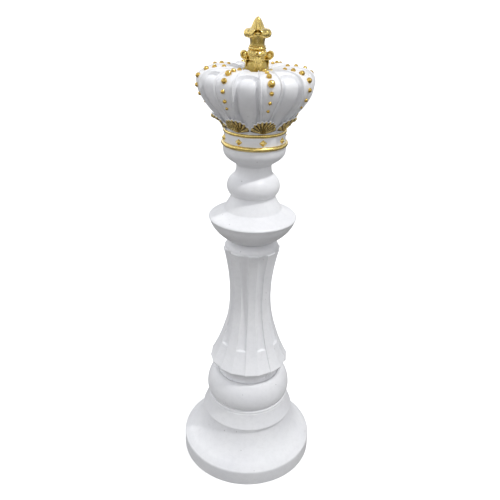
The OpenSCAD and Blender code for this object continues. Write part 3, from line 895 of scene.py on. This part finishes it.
def finial_stem():
    profile = outline(
        (STUD_R, STEM_Z), (12.0, STEM_Z),
        ((11.2, STEM_Z + 3), (11.6, STEM_Z + 8), (14.2, ARMS_Z)), (STUD_R, ARMS_Z))

    def grooves(r, z, a):
        return 0.7 * math.cos(8 * a) if r > 5 else 0

    piece("finial_grooved_stem", [lathe(profile, 120, grooves)], POT_GILT,
          replaces=["finial_stem"])


def finial_arms():
    """Four wide petals that roll out and down, with a narrow keel in front and behind."""
    z = ARMS_Z
    hub = outline((STUD_R, z), (14.2, z), ((16.5, z + 3.5), (17, z + 8.5), (10, BUD_Z)), (STUD_R, BUD_Z))
    parts = [lathe(hub, 96)]
    arm = outline((8, z + 6.5), ((9.5, z + 10), (12, z + 11.4), (15.5, z + 10.8)),
                  ((20.5, z + 10), (23.4, z + 4.5), (20.8, z + 0.4)),
                  ((19, z - 1.6), (16.4, z - 0.6), (16.2, z + 2)))
    keel = [(12.4, z - 10), (13.6, z - 4), (14.4, z + 2), (12.5, z + 7), (9.5, z + 11)]
    for n in range(4):
        turn = math.radians(45 + 90 * n)
        core = ball(around(16.8, turn, z + 4.8), around(1, turn + math.pi / 2, 0), 5.0, 1.6, n + 3)
        parts.extend([petal(turn, arm, 23, 3.6, n), core])
    for side in (0, 1):
        parts.append(petal(side * math.pi + math.radians(3), keel, 4.5, 3.0, side + 5))
    piece("finial_curled_arms", parts, BRIGHT_GILT, replaces=["finial_arms"], sharp=60)


def finial_bud():
    """A bud with four keels: one faces the front, between two dark folds."""
    profile = outline(
        (0.3, BUD_Z - 1), (9.5, BUD_Z - 1),
        ((12.0, BUD_Z + 1.5), (10.6, BUD_Z + 6), (8.8, BUD_Z + 10)),
        ((7.4, BUD_Z + 14), (4.6, TIP_Z - 1.6), (0.3, TIP_Z - 0.2)))

    def petals(r, z, a):
        side = (a - FINIAL_TURN + TURN / 8) % (TURN / 4) - TURN / 8
        keel = math.exp(-(side / 0.13) ** 2)
        fold = math.exp(-((abs(side) - 0.34) / 0.10) ** 2) * smooth(BUD_Z + 15 - z, 0, 9)
        return r * (0.09 * keel - 0.11 * fold) * smooth(TIP_Z - z, 0, 4)

    piece("finial_bud_cast", [lathe(profile, 160, petals, 0.1)], BRIGHT_GILT,
          replaces=["finial_bud"], sharp=50)


# ---------- pieces that keep their CAD shape ----------

def dress(material, *nodes):
    for name in nodes:
        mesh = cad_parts[name].data
        mesh.materials.clear()
        mesh.materials.append(material)


def inner_pieces():
    dress(BOARD, "base_plate")
    dress(STEEL, "plate_screws", "foot_screws", "tie_rod", "base_washer", "base_nut", "crown_washer",
          "crown_nut", "finial_stud")
    dress(RUBBER, "rubber_feet")
    dress(SAND, "sand_ballast")
    dress(PLASTIC, "fill_plug")
    dress(SEAL, "plug_seal")
    dress(ALUMINIUM, "centring_tube")
    dress(BRASS, "finial_insert")


# ---------- studio ----------

CAMERA_DISTANCE = 1.0135
CAMERA_HEIGHT = 0.9650
CAMERA_LEFT = 0.0031
CAMERA_DOWN = 25.32
CAMERA_ROLL = 1.54
LENS = 40.69


def camera():
    data = bpy.data.cameras.new("camera")
    data.lens = LENS
    data.sensor_width = 36
    obj = bpy.data.objects.new("camera", data)
    obj.location = (-CAMERA_LEFT, -CAMERA_DISTANCE, CAMERA_HEIGHT)
    obj.rotation_euler = (math.radians(90 - CAMERA_DOWN), 0, 0)
    bpy.context.scene.collection.objects.link(obj)
    bpy.context.view_layer.update()
    obj.rotation_euler.rotate_axis("Z", math.radians(CAMERA_ROLL))
    bpy.context.scene.camera = obj


def lamp(name, right, up, distance, size, power):
    """A round lamp aimed at the collar. right is its turn from the front and up its height, in degrees."""
    data = bpy.data.lights.new(name, "AREA")
    data.shape = "DISK"
    data.size = size
    data.energy = power
    obj = bpy.data.objects.new(name, data)
    target = Vector((0, 0, 0.56))
    turn, rise = math.radians(right), math.radians(up)
    away = Vector((math.cos(rise) * math.sin(turn), -math.cos(rise) * math.cos(turn), math.sin(rise)))
    obj.location = target + away * distance
    obj.rotation_euler = away.to_track_quat("Z", "Y").to_euler()
    bpy.context.scene.collection.objects.link(obj)


def floor():
    """A pale floor that glows a little, so that the shadow on it stays faint."""
    half = 80
    mesh = bpy.data.meshes.new("floor")
    corners = [(-half, -half, 0), (half, -half, 0), (half, half, 0), (-half, half, 0)]
    mesh.from_pydata(corners, [], [(0, 1, 2, 3)])
    mat, tree, bsdf = new_material("studio_floor")
    where = tree.nodes.new("ShaderNodeTexCoord").outputs["Object"]
    grain = texture(tree, where, "ShaderNodeTexNoise", 40, Detail=3.0).outputs["Fac"]
    tree.links.new(ramp(tree, grain, [(0.3, shade(0.78)), (0.7, shade(0.80))]), bsdf.inputs["Base Color"])
    bsdf.inputs["Roughness"].default_value = 0.9
    bsdf.inputs["Emission Color"].default_value = (1, 1, 1, 1)
    bsdf.inputs["Emission Strength"].default_value = 0.55
    obj = bpy.data.objects.new("floor", mesh)
    obj.visible_diffuse = False
    obj.visible_glossy = False
    mesh.materials.append(mat)
    bpy.context.scene.collection.objects.link(obj)


def sky():
    """Brightest at mid height and on the left, dimmer overhead, dark below.

    Dark patches show in the gilt. The camera itself sees a plain backdrop.
    """
    world = bpy.data.worlds.new("studio")
    bpy.context.scene.world = world
    world.use_nodes = True
    tree = world.node_tree
    where = tree.nodes.new("ShaderNodeTexCoord").outputs["Generated"]
    split = tree.nodes.new("ShaderNodeSeparateXYZ")
    tree.links.new(where, split.inputs["Vector"])

    def levels(axis, stops):
        spread = add_node(tree, "ShaderNodeMapRange")
        spread.inputs["From Min"].default_value = -1
        tree.links.new(split.outputs[axis], spread.inputs["Value"])
        return ramp(tree, spread.outputs["Result"], stops)

    colour = levels("Z", [(0.0, (0.19, 0.187, 0.185)), (0.46, (0.27, 0.266, 0.262)),
                          (0.54, (0.97, 0.98, 1.0)), (0.75, (0.90, 0.915, 0.94)), (1.0, (0.60, 0.615, 0.64))])
    turn = levels("Y", [(0.0, shade(0.98)), (0.30, shade(1.06)), (0.5, shade(1.12)), (1.0, shade(1.0))])
    side = levels("X", [(0.0, shade(1.34)), (0.5, shade(1.06)), (1.0, shade(0.92))])
    room = texture(tree, where, "ShaderNodeTexNoise", 3.2, Detail=1.5).outputs["Fac"]
    patches = ramp(tree, room, [(0.42, shade(0.10)), (0.52, shade(1.25))])
    lit = mix(tree, 1.0, mix(tree, 1.0, colour, turn, "MULTIPLY"), side, "MULTIPLY")
    back = tree.nodes["Background"]
    seen = tree.nodes.new("ShaderNodeLightPath").outputs["Is Camera Ray"]
    patched = mix(tree, 0.8, lit, patches, "MULTIPLY")
    tree.links.new(mix(tree, seen, patched, shade(0.8)), back.inputs["Color"])
    back.inputs["Strength"].default_value = 1.06


base_casting()
step_ring()
torus_ring()
shaft()
shaft_cap()
collar()
neck_ball()
cup()
band()
crown_shell()
crown_arches()
arch_beads()
cord_ring("band_cord_lower", 61, 4, "band_ring_lower")
cord_ring("band_cord_upper", 58, 3.4, "band_ring_upper")
band_studs()
palmettes()
finial_pot()
finial_leaves()
finial_ring()
finial_stem()
finial_arms()
finial_bud()
inner_pieces()

floor()
sky()
camera()
lamp("key", 56, 62, 3.2, 0.10, 47)
bpy.context.scene.view_settings.view_transform = "Standard"
